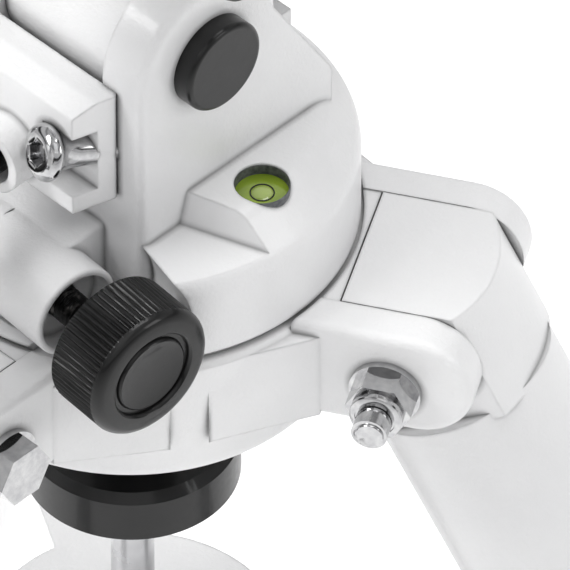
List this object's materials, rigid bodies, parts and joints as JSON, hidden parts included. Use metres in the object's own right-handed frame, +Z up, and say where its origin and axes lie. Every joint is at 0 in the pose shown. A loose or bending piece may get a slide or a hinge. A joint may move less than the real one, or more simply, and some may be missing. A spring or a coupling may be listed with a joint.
{
  "type": "equatorial mount",
  "caption": "Equatorial mount on a folding tripod, with polar and declination axes, azimuth and altitude screws, level vial and counterweight.",
  "frame": {"origin": "middle of the mount's footprint box, on the floor under the feet", "axes": "+Z up, -Y towards the pole that the polar axis points to, +X east"},
  "size_m": [0.7726, 0.6758, 1.0493],
  "materials": {
    "white_casting": "gloss white powder coat, light orange peel",
    "white_tube": "smooth gloss white",
    "black_knob": "satin black, fine ribs",
    "black_metal": "black oxide",
    "bright_steel": "polished stainless",
    "machined": "turned steel",
    "silver": "satin anodised",
    "vial_green": "clear vial with yellow-green fluid",
    "bronze": "machined bronze",
    "foot_rubber": "matte black rubber"
  },
  "bodies": {
    "hub": {"tripod_hub": "white_casting", "azimuth_peg": "machined", "centre_rod": "machined", "leg_hinge_bolts": "bright_steel", "leg_hinge_nuts": "bright_steel"},
    "centre_knob": {"centre_knob": "black_knob"},
    "tray_knob": {"tray_knob": "black_knob"},
    "tray": {"spreader_tray": "white_casting"},
    "base": {"azimuth_base": "white_casting", "bridge_block": "white_casting", "bridge_screws": "bright_steel", "level_vial": "vial_green", "pivot_bolt": "machined", "pivot_caps": "black_knob"},
    "polar": {"polar_housing": "white_casting"},
    "ra_drive": {"ra_worm": "machined", "ra_knob": "black_knob"},
    "ra_axis": {"ra_shaft": "machined", "ra_wheel": "bronze", "dec_housing": "white_casting", "counterweight_bar": "bright_steel", "toe_saver": "black_knob"},
    "ra_circle": {"ra_circle": "silver"},
    "ra_clutch": {"ra_clutch": "black_knob"},
    "dec_drive": {"dec_worm": "machined", "dec_knob": "black_knob"},
    "dec_axis": {"dec_shaft": "machined", "dec_wheel": "bronze", "saddle": "white_casting"},
    "dec_circle": {"dec_circle": "silver"},
    "dec_clutch": {"dec_clutch": "black_knob"},
    "saddle_screw": {"saddle_screw": "black_knob"},
    "counterweight": {"counterweight": "white_casting"},
    "counterweight_screw": {"counterweight_screw": "black_knob"},
    "leg_north": {"leg_top_north": "white_casting", "upper_tube_north": "white_tube", "leg_clamp_north": "white_casting"},
    "lower_leg_north": {"lower_tube_north": "machined", "foot_north": "foot_rubber"},
    "clamp_knob_north": {"clamp_knob_north": "black_knob"},
    "leg_east": {"leg_top_east": "white_casting", "upper_tube_east": "white_tube", "leg_clamp_east": "white_casting"},
    "lower_leg_east": {"lower_tube_east": "machined", "foot_east": "foot_rubber"},
    "clamp_knob_east": {"clamp_knob_east": "black_knob"},
    "leg_west": {"leg_top_west": "white_casting", "upper_tube_west": "white_tube", "leg_clamp_west": "white_casting"},
    "lower_leg_west": {"lower_tube_west": "machined", "foot_west": "foot_rubber"},
    "clamp_knob_west": {"clamp_knob_west": "black_knob"},
    "azimuth_bolt_east": {"azimuth_bolt_east": "black_metal"},
    "azimuth_knob_east": {"azimuth_knob_east": "black_knob"},
    "azimuth_bolt_west": {"azimuth_bolt_west": "black_metal"},
    "azimuth_knob_west": {"azimuth_knob_west": "black_knob"},
    "altitude_bolt_north": {"altitude_bolt_north": "black_metal"},
    "altitude_handle_north": {"altitude_handle_north": "bright_steel"},
    "altitude_bolt_south": {"altitude_bolt_south": "black_metal"},
    "altitude_handle_south": {"altitude_handle_south": "bright_steel"}
  },
  "joints": [
    {"name": "leg_fold_north", "type": "hinge", "parent": "hub", "child": "leg_north", "pos_m": [0, 0.02338, 0.725], "axis": [1, 0, 0], "range_deg": [0, 18]},
    {"name": "leg_extend_north", "type": "slide", "parent": "leg_north", "child": "lower_leg_north", "axis": [0, -0.4305, -0.9026], "range_m": [0, 0.26]},
    {"name": "clamp_turn_north", "type": "hinge", "parent": "leg_north", "child": "clamp_knob_north", "pos_m": [0, -0.21326, 0.32654], "axis": [0, -0.9026, 0.4305], "range_deg": [0, 180]},
    {"name": "leg_fold_east", "type": "hinge", "parent": "hub", "child": "leg_east", "pos_m": [0.06971, 0.14413, 0.725], "axis": [-0.5, 0.866, 0], "range_deg": [0, 18]},
    {"name": "leg_extend_east", "type": "slide", "parent": "leg_east", "child": "lower_leg_east", "axis": [0.3728, 0.2153, -0.9026], "range_m": [0, 0.26]},
    {"name": "clamp_turn_east", "type": "hinge", "parent": "leg_east", "child": "clamp_knob_east", "pos_m": [0.27465, 0.26245, 0.32654], "axis": [0.7817, 0.4513, 0.4305], "range_deg": [0, 180]},
    {"name": "leg_fold_west", "type": "hinge", "parent": "hub", "child": "leg_west", "pos_m": [-0.06971, 0.14413, 0.725], "axis": [-0.5, -0.866, 0], "range_deg": [0, 18]},
    {"name": "leg_extend_west", "type": "slide", "parent": "leg_west", "child": "lower_leg_west", "axis": [-0.3728, 0.2153, -0.9026], "range_m": [0, 0.26]},
    {"name": "clamp_turn_west", "type": "hinge", "parent": "leg_west", "child": "clamp_knob_west", "pos_m": [-0.27465, 0.26245, 0.32654], "axis": [-0.7817, 0.4513, 0.4305], "range_deg": [0, 180]},
    {"name": "tray_lower", "type": "slide", "parent": "hub", "child": "tray_knob", "axis": [0, 0, -1], "range_m": [0, 0.15]},
    {"name": "tray_turn", "type": "hinge", "parent": "tray_knob", "child": "tray", "pos_m": [0, 0.10388, 0.575], "axis": [0, 0, 1], "range_deg": [0, 60]},
    {"name": "centre_knob_turn", "type": "hinge", "parent": "hub", "child": "centre_knob", "pos_m": [0, 0.10388, 0.681], "axis": [0, 0, 1], "continuous": true},
    {"name": "azimuth", "type": "hinge", "parent": "hub", "child": "base", "pos_m": [0, 0.10388, 0.751], "axis": [0, 0, 1], "range_deg": [-5, 5]},
    {"name": "azimuth_screw_east", "type": "slide", "parent": "base", "child": "azimuth_bolt_east", "axis": [0.9963, -0.0854, 0], "range_m": [-0.0045, 0.0045]},
    {"name": "azimuth_knob_turn_east", "type": "hinge", "parent": "azimuth_bolt_east", "child": "azimuth_knob_east", "pos_m": [0.04334, 0.05257, 0.7575], "axis": [0.9963, -0.0854, 0], "range_deg": [-1010, 1010]},
    {"name": "azimuth_screw_west", "type": "slide", "parent": "base", "child": "azimuth_bolt_west", "axis": [-0.9963, -0.0854, 0], "range_m": [-0.0045, 0.0045]},
    {"name": "azimuth_knob_turn_west", "type": "hinge", "parent": "azimuth_bolt_west", "child": "azimuth_knob_west", "pos_m": [-0.04334, 0.05257, 0.7575], "axis": [-0.9963, -0.0854, 0], "range_deg": [-1010, 1010]},
    {"name": "altitude", "type": "hinge", "parent": "base", "child": "polar", "pos_m": [0, 0.09988, 0.823], "axis": [1, 0, 0], "range_deg": [-8, 15]},
    {"name": "altitude_screw_north", "type": "slide", "parent": "base", "child": "altitude_bolt_north", "axis": [0, 1, 0], "range_m": [-0.0085, 0.0085]},
    {"name": "altitude_handle_turn_north", "type": "hinge", "parent": "altitude_bolt_north", "child": "altitude_handle_north", "pos_m": [0, 0.02388, 0.795], "axis": [0, 1, 0], "range_deg": [-1770, 1770]},
    {"name": "altitude_screw_south", "type": "slide", "parent": "base", "child": "altitude_bolt_south", "axis": [0, 1, 0], "range_m": [-0.0085, 0.0085]},
    {"name": "altitude_handle_turn_south", "type": "hinge", "parent": "altitude_bolt_south", "child": "altitude_handle_south", "pos_m": [0, 0.18388, 0.795], "axis": [0, 1, 0], "range_deg": [-1770, 1770]},
    {"name": "right_ascension", "type": "hinge", "parent": "polar", "child": "ra_axis", "pos_m": [0, 0.14797, 0.87109], "axis": [0, -0.7071, 0.7071], "continuous": true},
    {"name": "ra_slow_motion", "type": "hinge", "parent": "polar", "child": "ra_drive", "pos_m": [0, 0.08906, 0.88007], "axis": [1, 0, 0], "continuous": true},
    {"name": "ra_circle_turn", "type": "hinge", "parent": "polar", "child": "ra_circle", "pos_m": [0, 0.1013, 0.91776], "axis": [0, -0.7071, 0.7071], "continuous": true},
    {"name": "ra_clutch_turn", "type": "hinge", "parent": "polar", "child": "ra_clutch", "pos_m": [0.04, 0.13807, 0.88099], "axis": [1, 0, 0], "range_deg": [-35, 35]},
    {"name": "declination", "type": "hinge", "parent": "ra_axis", "child": "dec_axis", "pos_m": [0, 0.06523, 0.95382], "axis": [0, 0.7071, 0.7071], "continuous": true},
    {"name": "dec_slow_motion", "type": "hinge", "parent": "ra_axis", "child": "dec_drive", "pos_m": [0, 0.06608, 0.99823], "axis": [1, 0, 0], "continuous": true},
    {"name": "dec_circle_turn", "type": "hinge", "parent": "ra_axis", "child": "dec_circle", "pos_m": [0, 0.10271, 0.9913], "axis": [0, 0.7071, 0.7071], "continuous": true},
    {"name": "dec_clutch_turn", "type": "hinge", "parent": "ra_axis", "child": "dec_clutch", "pos_m": [0.035, 0.07089, 0.95947], "axis": [1, 0, 0], "range_deg": [-35, 35]},
    {"name": "saddle_screw_travel", "type": "slide", "parent": "dec_axis", "child": "saddle_screw", "axis": [1, 0, 0], "range_m": [-0.004, 0.008]},
    {"name": "counterweight_travel", "type": "slide", "parent": "ra_axis", "child": "counterweight", "axis": [0, 0.7071, 0.7071], "range_m": [-0.05, 0.09]},
    {"name": "counterweight_screw_travel", "type": "slide", "parent": "counterweight", "child": "counterweight_screw", "axis": [1, 0, 0], "range_m": [0, 0.008]}
  ],
  "couplings": [
    {"joint": "leg_fold_east", "follows": "leg_fold_north", "ratio": 1},
    {"joint": "leg_fold_west", "follows": "leg_fold_north", "ratio": 1},
    {"joint": "tray_lower", "follows": "leg_fold_north", "m_per_rad": 0.47746},
    {"joint": "tray_turn", "follows": "leg_fold_north", "ratio": 3.3333},
    {"joint": "azimuth_screw_east", "follows": "azimuth", "m_per_rad": -0.0476},
    {"joint": "azimuth_knob_turn_east", "follows": "azimuth", "ratio": -199.39},
    {"joint": "azimuth_screw_west", "follows": "azimuth", "m_per_rad": 0.0476},
    {"joint": "azimuth_knob_turn_west", "follows": "azimuth", "ratio": 199.39},
    {"joint": "altitude_screw_north", "follows": "altitude", "m_per_rad": 0.028},
    {"joint": "altitude_handle_turn_north", "follows": "altitude", "ratio": 117.29},
    {"joint": "altitude_screw_south", "follows": "altitude", "m_per_rad": 0.028},
    {"joint": "altitude_handle_turn_south", "follows": "altitude", "ratio": 117.29},
    {"joint": "ra_slow_motion", "follows": "right_ascension", "ratio": 144},
    {"joint": "dec_slow_motion", "follows": "declination", "ratio": 144}
  ]
}
